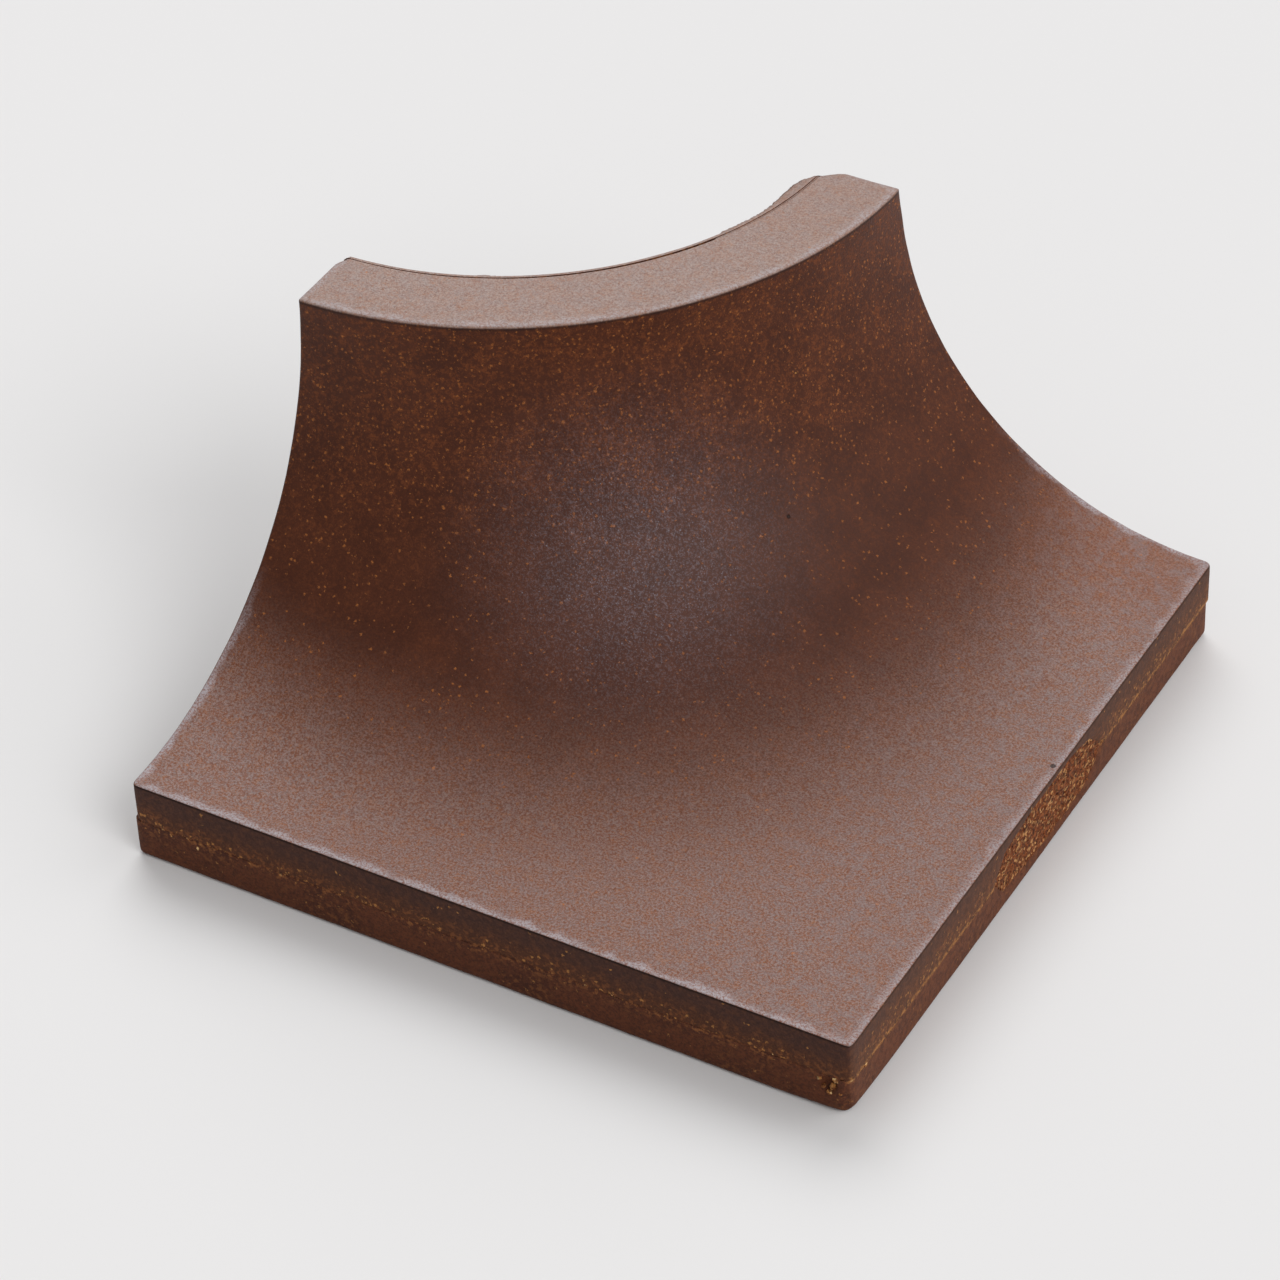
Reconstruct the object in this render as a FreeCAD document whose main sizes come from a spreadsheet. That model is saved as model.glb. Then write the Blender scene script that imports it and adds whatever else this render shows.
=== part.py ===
import FreeCAD, Part
import math
import os
import Sketcher

# External-corner cove tile in pressed and fired clay, millimetres.
#
# A square floor plate turns up, in a quarter-round cove, into a low curved upstand that wraps
# round the outside corner of a wall. Every curved face is turned about one vertical axis, which
# stands over the back corner of the square. The two sides that meet at that corner butt against
# the straight cove tiles of the run; the other two butt against floor tiles.
#
# The clay was squeezed between two dies. Their parting seam runs half way up the sides and
# through the wall to the back edge of the rim, and the lower die sat slightly to one side. A
# dark fired skin covers what the upper die formed, the raw body shows below the seam, and the
# clay that squeezed out along the seam was knocked off to a crumbly root.
#
# Frame: origin under the middle of the square, +Z up, the axis at the (-X, +Y) corner.

DOC = FreeCAD.newDocument("cove_corner_tile")
SHEET = DOC.addObject("Spreadsheet::Sheet", "Sizes")

SIZES = {
    "tile_side": 180.0,
    "tile_thickness": 21.0,
    "upstand_height": 101.0,
    "wall_face_radius": 99.5,
    "wall_thickness": 19.5,
    "cove_radius": 80.0,
    "back_radius": 96.0,
    "skin_thickness": 1.0,
    "corner_radius": 2.0,
    "arris_radius": 0.8,
    "foot_radius": 1.5,
    "parting_height": 10.5,
    "seam_radius": 99.0,
    "flash_height": 1.0,
    "flash_depth": 1.4,
    "flash_recess": 0.15,
    "die_shift": 0.5,
    "turn_angle": 100.0,
    "blank_reach": 262.0,
    "scar_root": 1.35,
    "scar_thickness": 0.7,
    "chip_radius": 2.5,
    "chip_depth": 1.6,
    "chip_along": 84.7,
    "chip_height": 7.9,
    "lip_drop": 0.3,
    "lip_thickness": 2.4,
}

# Clay lips squeezed out behind the rim: name, start, peak and end angle from +X, and reach.
RIM_LIPS = [
    ("rim_lip", 3.8, 8.5, 27.5, 2.8),
    ("rim_lump", 63.4, 65.6, 68.4, 1.4),
]

# Outline of the torn patch on the +X side: (Y, height) points of one closed curve.
SCAR_OUTLINE = [
    (32.6, 10.9), (26.0, 17.0), (17.0, 19.2), (-4.0, 19.0), (-17.3, 17.2),
    (-23.7, 11.2), (-17.0, 4.0), (5.0, 2.2), (22.7, 2.4), (30.6, 6.4),
]

# The lip's edge swells over its first steps and falls away evenly over the others.
LIP_RISE_STEPS = 3
LIP_FALL_STEPS = 4
LIP_SWELL = 0.7

UP = FreeCAD.Vector(0, 0, 1)
TOWARDS_FREE_CORNER = -45
UPRIGHT = 0.99
TOUCHING = 0.01
ON_GROUND = 1e-6
PAST_RIM_BACK = 2
PAST_WALL_FACE = 1
COVE_END = "(Sizes.wall_face_radius + Sizes.cove_radius)"
WALL_BACK = "(Sizes.wall_face_radius - Sizes.wall_thickness)"


def fill_sheet():
    """Writes each driving size to a cell of its own and gives the cell its name."""
    for row, (name, value) in enumerate(SIZES.items(), start=1):
        SHEET.set("A%d" % row, name)
        SHEET.set("B%d" % row, str(value))
        SHEET.setAlias("B%d" % row, name)
    DOC.recompute()


def value(rule):
    """Returns what a rule over the sheet comes to."""
    return float(SHEET.evalExpression(rule))


def bind(feature, **rules):
    """Binds properties of a feature to rules over the sheet."""
    for name, rule in rules.items():
        feature.setExpression(name.replace("__", "."), rule)


def new_sketch(body, role):
    """Makes a sketch on the origin plane of its body that has this role."""
    plane = next(item for item in body.Origin.OriginFeatures if item.Role == role)
    sketch = body.newObject("Sketcher::SketchObject", body.Name + "_sketch")
    sketch.AttachmentSupport = [(plane, "")]
    sketch.MapMode = "FlatFace"
    return sketch


def arc_between(start, end, radius):
    """Returns an arc that bends about a centre above it, and which of its ends is the start."""
    middle = (start + end) / 2
    across = FreeCAD.Vector(start.y - end.y, end.x - start.x, 0).normalize()
    if across.y < 0:
        across = -across
    centre = middle + across * math.sqrt(radius ** 2 - (start - middle).Length ** 2)
    angles = [math.atan2(point.y - centre.y, point.x - centre.x) for point in (start, end)]
    forward = math.sin(angles[1] - angles[0]) > 0
    arc = Part.ArcOfCircle(Part.Circle(centre, UP, radius), min(angles), max(angles))
    return arc, (1, 2) if forward else (2, 1)


def turned_blank(name, corners, arcs):
    """Turns a closed profile about the axis, a little past both ends of the quarter circle.

    Each corner is a pair of rules, for its distance from the axis and its height. A segment
    that starts at a corner listed in arcs bends to the radius that its rule gives.
    """
    body = DOC.addObject("PartDesign::Body", name)
    body.Placement.Rotation = FreeCAD.Rotation(UP, TOWARDS_FREE_CORNER)
    bind(body, Placement__Base__x="(Sizes.die_shift - Sizes.tile_side) / 2",
         Placement__Base__y="Sizes.tile_side / 2")
    sketch = new_sketch(body, "XZ_Plane")
    points = [FreeCAD.Vector(value(out), value(rise), 0) for out, rise in corners]
    segments = []
    for number, start in enumerate(points):
        end = points[(number + 1) % len(points)]
        if number in arcs:
            geometry, ends = arc_between(start, end, value(arcs[number]))
        else:
            geometry, ends = Part.LineSegment(start, end), (1, 2)
        segments.append((sketch.addGeometry(geometry, False), *ends))
    for number, (line, start, end) in enumerate(segments):
        following, joint, _ = segments[(number + 1) % len(segments)]
        sketch.addConstraint(Sketcher.Constraint("Coincident", line, end, following, joint))
        out, rise = corners[number]
        dimension(sketch, ("DistanceX", -1, 1, line, start), out)
        if value(rise) == 0:
            sketch.addConstraint(Sketcher.Constraint("PointOnObject", line, start, -1))
        else:
            dimension(sketch, ("DistanceY", -1, 1, line, start), rise)
        if number in arcs:
            dimension(sketch, ("Radius", line), arcs[number])
    revolution = body.newObject("PartDesign::Revolution", name + "_turn")
    revolution.Profile = (sketch, [""])
    revolution.ReferenceAxis = (sketch, ["V_Axis"])
    revolution.Midplane = True
    bind(revolution, Angle="Sizes.turn_angle")
    return body


def dimension(sketch, place, rule):
    """Adds a dimension to a sketch and binds it to a rule."""
    number = sketch.addConstraint(Sketcher.Constraint(*place, value(rule)))
    sketch.setExpression("Constraints[%d]" % number, rule)


def seam_at_rim(offset):
    """Rule for how far from the axis a curve beside the seam comes out on the rim."""
    return ("%s - sqrt((Sizes.seam_radius - %s)^2 - "
            "(Sizes.parting_height + Sizes.seam_radius - Sizes.upstand_height)^2)"
            % (COVE_END, offset))


def face_blank(name, inset):
    """The clay between the seam and the walking face, with the face moved in by an inset."""
    face = "Sizes.wall_face_radius - " + inset
    floor = "Sizes.tile_thickness - " + inset
    corners = [
        (seam_at_rim("0"), "Sizes.upstand_height"),
        (face, "Sizes.upstand_height"),
        (COVE_END, floor),
        ("Sizes.blank_reach", floor),
        ("Sizes.blank_reach", "Sizes.parting_height"),
        (COVE_END, "Sizes.parting_height"),
    ]
    return turned_blank(name, corners, {1: "Sizes.cove_radius + " + inset, 5: "Sizes.seam_radius"})


def back_blank():
    """The clay between the seam and the hollow back of the tile."""
    corners = [
        (seam_at_rim("0"), "Sizes.upstand_height"),
        (COVE_END, "Sizes.parting_height"),
        ("Sizes.blank_reach", "Sizes.parting_height"),
        ("Sizes.blank_reach", "0"),
        (WALL_BACK + " + Sizes.back_radius", "0"),
        (WALL_BACK, "Sizes.back_radius"),
        (WALL_BACK, "Sizes.upstand_height"),
    ]
    return turned_blank("back_blank", corners, {0: "Sizes.seam_radius", 4: "Sizes.back_radius"})


def flash_blank():
    """A thin sheet that follows the seam, half its thickness on each side."""
    half = "Sizes.flash_height / 2"
    above = "Sizes.parting_height + " + half
    below = "Sizes.parting_height - " + half
    corners = [
        (seam_at_rim("(0 - %s)" % half), "Sizes.upstand_height"),
        (seam_at_rim(half), "Sizes.upstand_height"),
        (COVE_END, above),
        ("Sizes.blank_reach", above),
        ("Sizes.blank_reach", below),
        (COVE_END, below),
    ]
    arcs = {1: "Sizes.seam_radius - " + half, 5: "Sizes.seam_radius + " + half}
    return turned_blank("flash_blank", corners, arcs)


def square_block(name, inset, shift, top, rounding):
    """A block with the tile's square plan, moved in by an inset and sideways by a shift."""
    box = DOC.addObject("Part::Box", name)
    side = "Sizes.tile_side - 2 * " + inset
    bind(box, Length=side, Width=side, Height=top,
         Placement__Base__x="(2 * %s - Sizes.tile_side) / 2 + %s" % (inset, shift),
         Placement__Base__y="(2 * %s - Sizes.tile_side) / 2" % inset)
    DOC.recompute()
    upright = [index for index, edge in enumerate(box.Shape.Edges, start=1)
               if abs(edge.tangentAt(edge.FirstParameter).z) > UPRIGHT]
    return rounded(name + "_rounded", box, upright, value(rounding))


def rounded(name, base, edges, radius):
    """Rounds the numbered edges of a shape."""
    fillet = DOC.addObject("Part::Fillet", name)
    fillet.Base = base
    fillet.Edges = [(index, radius, radius) for index in edges]
    return fillet


def boolean(kind, name, base, tool):
    """Combines two shapes: kind is Cut, Common or Fuse."""
    feature = DOC.addObject("Part::" + kind, name)
    feature.Base = base
    feature.Tool = tool
    return feature


def distance_from_axis(point):
    """Returns how far a point is from the turning axis."""
    axis_x = value("(Sizes.die_shift - Sizes.tile_side) / 2")
    axis_y = value("Sizes.tile_side / 2")
    return math.hypot(point.x - axis_x, point.y - axis_y)


def arrises(shape):
    """Numbers the edges where the walking face and the rim turn over to the sides."""
    top = value("Sizes.upstand_height")
    cove = value("Sizes.cove_radius")
    cove_end = value(COVE_END)
    found = []
    for index, edge in enumerate(shape.Edges, start=1):
        low, high = edge.ParameterRange
        point = edge.valueAt((low + high) / 2)
        out = min(distance_from_axis(point), cove_end)
        face_height = top - math.sqrt(max(cove ** 2 - (cove_end - out) ** 2, 0))
        on_face = abs(point.z - face_height) < TOUCHING
        on_rim_end = abs(point.z - top) < TOUCHING and out > value(WALL_BACK) + PAST_RIM_BACK
        inside = max(abs(point.x - value("Sizes.die_shift / 2")), abs(point.y)) < value(
            "Sizes.tile_side / 2 - Sizes.corner_radius")
        if on_face and not (inside and out > value("Sizes.wall_face_radius") + PAST_WALL_FACE):
            found.append(index)
        elif on_rim_end and not inside:
            found.append(index)
    return found


def bottom_edges(shape):
    """Numbers the edges that lie on the ground."""
    return [index for index, edge in enumerate(shape.Edges, start=1)
            if abs(edge.BoundBox.ZMin) < ON_GROUND and edge.BoundBox.ZMax < TOUCHING]


def scar_prism(name, start, length):
    """Pushes the outline of the torn patch through the +X side."""
    body = DOC.addObject("PartDesign::Body", name)
    sketch = new_sketch(body, "YZ_Plane")
    outline = Part.BSplineCurve()
    outline.interpolate([FreeCAD.Vector(y, z, 0) for y, z in SCAR_OUTLINE], PeriodicFlag=True)
    sketch.addGeometry(outline, False)
    pad = body.newObject("PartDesign::Pad", name + "_pad")
    pad.Profile = (sketch, [""])
    bind(pad, Length=length)
    bind(body, Placement__Base__x=start)
    return body


def rim_lip(name, start, peak, end, reach):
    """A lip of clay behind the rim, which swells to a peak and dies away at both ends."""
    body = DOC.addObject("PartDesign::Body", name)
    bind(body, Placement__Base__x="(Sizes.die_shift - Sizes.tile_side) / 2",
         Placement__Base__y="Sizes.tile_side / 2",
         Placement__Base__z="Sizes.upstand_height - Sizes.lip_drop - Sizes.lip_thickness")
    sketch = new_sketch(body, "XY_Plane")
    back = value(WALL_BACK)

    def place(angle, depth):
        turn = math.radians(-angle)
        return FreeCAD.Vector(math.cos(turn), math.sin(turn), 0) * (back - depth)

    swelling = [step / LIP_RISE_STEPS for step in range(LIP_RISE_STEPS + 1)]
    fading = [step / LIP_FALL_STEPS for step in range(1, LIP_FALL_STEPS + 1)]
    rise = [(start + (peak - start) * share, reach * share ** LIP_SWELL) for share in swelling]
    fall = [(peak + (end - peak) * share, reach * (1 - share)) for share in fading]
    edge = Part.BSplineCurve()
    edge.interpolate([place(angle, depth) for angle, depth in rise + fall])
    circle = Part.Circle(FreeCAD.Vector(0, 0, 0), UP, back)
    root = Part.ArcOfCircle(circle, math.radians(-end), math.radians(-start))
    outer = sketch.addGeometry(edge, False)
    inner = sketch.addGeometry(root, False)
    sketch.addConstraint(Sketcher.Constraint("Coincident", outer, 1, inner, 2))
    sketch.addConstraint(Sketcher.Constraint("Coincident", outer, 2, inner, 1))
    dimension(sketch, ("Radius", inner), WALL_BACK)
    pad = body.newObject("PartDesign::Pad", name + "_pad")
    pad.Profile = (sketch, [""])
    bind(pad, Length="Sizes.lip_thickness")
    return body


def edge_chip():
    """The ball that scoops a small chip out of the front side near the free corner."""
    ball = DOC.addObject("Part::Sphere", "edge_chip")
    bind(ball, Radius="Sizes.chip_radius", Placement__Base__x="Sizes.chip_along",
         Placement__Base__y="Sizes.chip_depth - Sizes.chip_radius - Sizes.tile_side / 2",
         Placement__Base__z="Sizes.chip_height")
    return ball


def stocks():
    """Makes the three turned and trimmed stocks, and the groove along the seam."""
    upper = "Sizes.die_shift / 2"
    lower = "(0 - Sizes.die_shift / 2)"
    above = "Sizes.upstand_height + Sizes.tile_thickness"
    face_stock = boolean("Common", "face_stock", face_blank("face_outer", "0"),
                         square_block("face_block", "0", upper, above, "Sizes.corner_radius"))
    core_stock = boolean(
        "Common", "core_stock", face_blank("face_inner", "Sizes.skin_thickness"),
        square_block("core_block", "Sizes.skin_thickness", upper,
                     "Sizes.upstand_height - Sizes.skin_thickness",
                     "Sizes.corner_radius - Sizes.skin_thickness"))
    foot_block = square_block("foot_block", "0", lower, above, "Sizes.corner_radius")
    groove = boolean(
        "Cut", "seam_groove", flash_blank(),
        square_block("flash_root", "Sizes.flash_depth", "0",
                     "Sizes.upstand_height - Sizes.flash_depth", "Sizes.corner_radius"))
    DOC.recompute()
    face_round = rounded("face_round", face_stock, arrises(face_stock.Shape),
                         value("Sizes.arris_radius"))
    foot_round = rounded("foot_round", foot_block, bottom_edges(foot_block.Shape),
                         value("Sizes.foot_radius"))
    foot_stock = boolean("Common", "foot_stock", back_blank(), foot_round)
    return face_round, core_stock, foot_stock, groove


def build():
    """Builds every sub-part and returns them in the order they are listed."""
    fill_sheet()
    face_round, core_stock, foot_stock, groove = stocks()
    scar_start = "Sizes.tile_side / 2 - Sizes.scar_root"
    scar_cutter = scar_prism("scar_cutter", scar_start, "2 * Sizes.scar_root")

    shell = boolean("Cut", "skin_shell", face_round, core_stock)
    skin = boolean("Cut", "skin_grooved", shell, groove)
    face_skin = boolean("Cut", "face_skin", skin, scar_cutter)

    whole = boolean("Fuse", "body_whole", core_stock, foot_stock)
    grooved = boolean("Cut", "body_grooved", whole, groove)
    torn = boolean("Cut", "body_torn", grooved, scar_cutter)
    clay_body = boolean("Cut", "clay_body", torn, edge_chip())

    ring = boolean("Common", "flash_ring", groove, square_block(
        "flash_rim", "Sizes.flash_recess", "0", "Sizes.upstand_height - Sizes.flash_recess",
        "Sizes.corner_radius"))
    parting_flash = boolean("Cut", "parting_flash", ring, scar_cutter)

    torn_patch = scar_prism("torn_patch", scar_start, "Sizes.scar_thickness")
    lips = [rim_lip(*lip) for lip in RIM_LIPS]
    DOC.recompute()
    return [clay_body, face_skin, parting_flash, torn_patch, *lips]


def check(subparts):
    """Stops if any feature failed, or if a sub-part is not a valid closed solid."""
    failed = [item.Name for item in DOC.Objects if {"Invalid", "Error"} & set(item.State)]
    if failed:
        raise RuntimeError("failed features: " + ", ".join(failed))
    for part in subparts:
        shape = part.Shape
        if shape.isNull() or not shape.isValid() or not shape.Solids:
            raise RuntimeError("bad shape: " + part.Label)
        box = shape.BoundBox
        print("%-14s %2d solid(s) %10.1f mm3  x %.2f..%.2f  y %.2f..%.2f  z %.2f..%.2f" % (
            part.Label, len(shape.Solids), shape.Volume, box.XMin, box.XMax, box.YMin, box.YMax,
            box.ZMin, box.ZMax))


def export(subparts):
    """Writes each sub-part to a STEP file that carries its name."""
    os.makedirs("parts", exist_ok=True)
    for part in subparts:
        part.Shape.exportStep(os.path.join("parts", part.Label + ".step"))


SUBPARTS = build()
check(SUBPARTS)
export(SUBPARTS)
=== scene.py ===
import logging
import math
from dataclasses import dataclass
from enum import Enum
from typing import Any, Iterable, Mapping, Sequence

import bmesh
import bpy
import numpy as np
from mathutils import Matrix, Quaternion, Vector, noise


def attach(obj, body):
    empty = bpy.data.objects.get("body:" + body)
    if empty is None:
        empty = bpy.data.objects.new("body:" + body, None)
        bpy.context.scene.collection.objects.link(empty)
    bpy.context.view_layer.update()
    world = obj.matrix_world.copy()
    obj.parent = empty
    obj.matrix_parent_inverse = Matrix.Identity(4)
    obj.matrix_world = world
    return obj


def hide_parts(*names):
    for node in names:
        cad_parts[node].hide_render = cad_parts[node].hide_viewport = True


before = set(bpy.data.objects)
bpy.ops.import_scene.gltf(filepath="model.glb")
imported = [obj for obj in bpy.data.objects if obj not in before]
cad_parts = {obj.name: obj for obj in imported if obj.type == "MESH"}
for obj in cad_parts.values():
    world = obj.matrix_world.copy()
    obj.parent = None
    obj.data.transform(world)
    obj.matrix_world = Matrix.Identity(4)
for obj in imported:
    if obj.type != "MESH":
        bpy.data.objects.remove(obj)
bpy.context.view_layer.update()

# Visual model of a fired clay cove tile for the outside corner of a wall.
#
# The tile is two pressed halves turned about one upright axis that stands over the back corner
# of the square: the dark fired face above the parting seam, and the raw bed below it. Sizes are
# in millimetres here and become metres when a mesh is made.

LOG = logging.getLogger("cove_tile")
MM = 0.001
BODY = "root"
FULL_TURN = 6.28
WIDE_GAP = 6.0
HELD = ((-89.95, -89.95, 0.05), (90.15, 89.95, 100.95))


# ---------------------------------------------------------------- colours and nodes


def linear(hex_colour: str, alpha: float = 1.0) -> tuple[float, float, float, float]:
    """Turns an sRGB hex colour into linear light.

    Args:
        hex_colour: Six hex digits after a hash.
        alpha: Opacity of the colour.

    Returns:
        Red, green, blue and alpha in linear light.
    """
    parts = [int(hex_colour[start:start + 2], 16) / 255 for start in (1, 3, 5)]
    light = [part / 12.92 if part <= 0.04045 else ((part + 0.055) / 1.055) ** 2.4 for part in parts]
    return (*light, alpha)


def per(millimetres: float) -> float:
    """Returns the texture scale whose features are this many millimetres apart."""
    return 1.0 / (millimetres * MM)


def add(tree: bpy.types.NodeTree, kind: str, inputs: Mapping[Any, Any] | None = None,
        **settings: Any) -> bpy.types.Node:
    """Adds a node with its settings, its fixed inputs and its links.

    Args:
        tree: The node tree that takes the node.
        kind: The node's type name.
        inputs: A value, a signal, a socket or a node for each input, by name or number.
        **settings: Properties of the node.

    Returns:
        The new node.
    """
    made = tree.nodes.new(kind)
    for name, setting in settings.items():
        setattr(made, name, setting)
    for key, given in (inputs or {}).items():
        if isinstance(given, Signal):
            given = given.socket
        if isinstance(given, bpy.types.Node):
            given = given.outputs[0]
        if isinstance(given, bpy.types.NodeSocket):
            tree.links.new(given, made.inputs[key])
        else:
            made.inputs[key].default_value = given
    return made


@dataclass(frozen=True)
class Signal:
    """A socket that can be reckoned with: each step adds a node to its tree."""

    tree: bpy.types.NodeTree
    socket: bpy.types.NodeSocket

    def reckon(self, operation: str, first: Any, second: Any = 0.0) -> "Signal":
        """Adds a sum, product or comparison of two values."""
        node = add(self.tree, "ShaderNodeMath", {0: first, 1: second}, operation=operation)
        return Signal(self.tree, node.outputs[0])

    def __add__(self, other: Any) -> "Signal":
        """Returns the sum."""
        return self.reckon("ADD", self, other)

    def __sub__(self, other: Any) -> "Signal":
        """Returns the difference."""
        return self.reckon("SUBTRACT", self, other)

    def __rsub__(self, other: Any) -> "Signal":
        """Returns a number less this signal."""
        return self.reckon("SUBTRACT", other, self)

    def __mul__(self, other: Any) -> "Signal":
        """Returns the product."""
        return self.reckon("MULTIPLY", self, other)

    def __truediv__(self, other: Any) -> "Signal":
        """Returns the quotient."""
        return self.reckon("DIVIDE", self, other)

    def __abs__(self) -> "Signal":
        """Returns the size without its sign."""
        return self.reckon("ABSOLUTE", self)

    def most(self, other: Any) -> "Signal":
        """Returns the greater of two values."""
        return self.reckon("MAXIMUM", self, other)

    def ramp(self, low: Any, high: Any, start: float = 0.0, end: float = 1.0) -> "Signal":
        """Steps smoothly between two limits.

        Args:
            low: Value that gives the start.
            high: Value that gives the end.
            start: Result at and below low.
            end: Result at and above high.

        Returns:
            The step.
        """
        node = add(self.tree, "ShaderNodeMapRange",
                   {"Value": self, "From Min": low, "From Max": high, "To Min": start, "To Max": end},
                   interpolation_type="SMOOTHSTEP")
        return Signal(self.tree, node.outputs[0])


class Board:
    """A material being made: its node tree, its coordinates and the colours laid so far."""

    def __init__(self, name: str, ground: str) -> None:
        """Starts a material on one plain colour."""
        self.made = bpy.data.materials.new(name)
        self.made.use_nodes = True
        self.tree = self.made.node_tree
        self.tree.nodes.clear()
        self.place = self.signal("ShaderNodeTexCoord", output="Object")
        self.colour: Any = linear(ground)

    def signal(self, kind: str, inputs: Mapping[Any, Any] | None = None, output: Any = 0,
               **settings: Any) -> Signal:
        """Adds a node and returns one of its outputs.

        Args:
            kind: The node's type name.
            inputs: What each input takes.
            output: The output's name or number.
            **settings: Properties of the node.

        Returns:
            The output.
        """
        return Signal(self.tree, add(self.tree, kind, inputs, **settings).outputs[output])

    def split(self, vector: Any) -> list[Signal]:
        """Returns the three parts of a vector."""
        node = add(self.tree, "ShaderNodeSeparateXYZ", {0: vector})
        return [Signal(self.tree, node.outputs[number]) for number in range(3)]

    def noise(self, across: float, detail: float, roughness: float = 0.5) -> Signal:
        """Returns noise with lumps this many millimetres across."""
        return self.signal("ShaderNodeTexNoise", {"Vector": self.place, "Scale": per(across),
                                                  "Detail": detail, "Roughness": roughness})

    def mark(self, name: str) -> Signal:
        """Returns one of the mesh's own measures."""
        return self.signal("ShaderNodeAttribute", output="Fac", attribute_name=name)

    def away(self, spot: Sequence[float]) -> Signal:
        """Returns the distance from a place given in metres."""
        return self.signal("ShaderNodeVectorMath", {0: self.place, 1: spot}, "Value", operation="DISTANCE")

    def lay(self, *layers: tuple[Any, str]) -> None:
        """Lays colours over what is there, each given as how much of it shows and its hex colour."""
        for amount, tone in layers:
            self.colour = self.signal("ShaderNodeMix", {0: amount, 6: self.colour, 7: linear(tone)}, 2,
                                      data_type="RGBA")

    def flecks(self, apart: float, across: float, share: Any) -> Signal:
        """Scatters ragged grains.

        Args:
            apart: Distance between possible grains in millimetres.
            across: Greatest width of a grain in millimetres.
            share: Share of the possible grains that are there.

        Returns:
            1 on a grain, 0 beside it.
        """
        cells = add(self.tree, "ShaderNodeTexVoronoi", {"Vector": self.place, "Scale": per(apart)})
        chance, width = [self.signal("ShaderNodeSeparateColor", {0: cells.outputs["Color"]}, number)
                         for number in range(2)]
        wide = across / apart
        edge = width * (wide / 2) - cells.outputs["Distance"]
        edge = edge + self.noise(across / 3, 2.0).ramp(0.3, 0.7, -0.22 * wide, 0.22 * wide)
        return edge.ramp(0.0, 0.3 * wide) * chance.reckon("LESS_THAN", chance, share)

    def streak(self, rise: Signal, east: Signal, tones: Sequence[str]) -> None:
        """Lays burnt and pale clouds over a side, and a broken ochre line along the seam towards +X.

        Args:
            rise: Height above the seam in millimetres.
            east: 1 on the side towards +X, 0 elsewhere.
            tones: Hex colours of the burnt clouds, the pale clouds and the line.
        """
        clouds = self.noise(1.7, 4.0, 0.8)
        burnt = clouds.ramp(0.5, 0.4) * 0.3
        # The pale clouds grow stronger towards +X: painted light for the side that catches more light.
        light = clouds.ramp(0.5, 0.64) * east.ramp(0, 1, 0.1, 0.22)
        line = abs(rise).ramp(0.3, 1.5, 0.75, 0.0) * east * clouds.ramp(0.44, 0.54)
        self.lay(*zip((burnt, light, line), tones))

    def finish(self, gloss: Any, relief: Signal, strength: float, depth: float,
               ior: float) -> bpy.types.Material:
        """Ends the material with its relief and its shader.

        Args:
            gloss: Roughness.
            relief: Height of the small relief, from 0 to 1.
            strength: How much of the relief shows.
            depth: Depth of the relief in millimetres.
            ior: Index that sets how much the surface reflects.

        Returns:
            The material.
        """
        bump = add(self.tree, "ShaderNodeBump",
                   {"Strength": strength, "Distance": depth * MM, "Height": relief})
        shader = add(self.tree, "ShaderNodeBsdfPrincipled",
                     {"Base Color": self.colour, "Roughness": gloss, "Normal": bump, "IOR": ior})
        add(self.tree, "ShaderNodeOutputMaterial", {0: shader})
        return self.made


@dataclass(frozen=True)
class Clay:
    """A fired clay finish: what it is called, its colours and how it takes the light."""

    name: str
    ground: str
    deep: str
    fleck: str
    roughness: float


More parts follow.
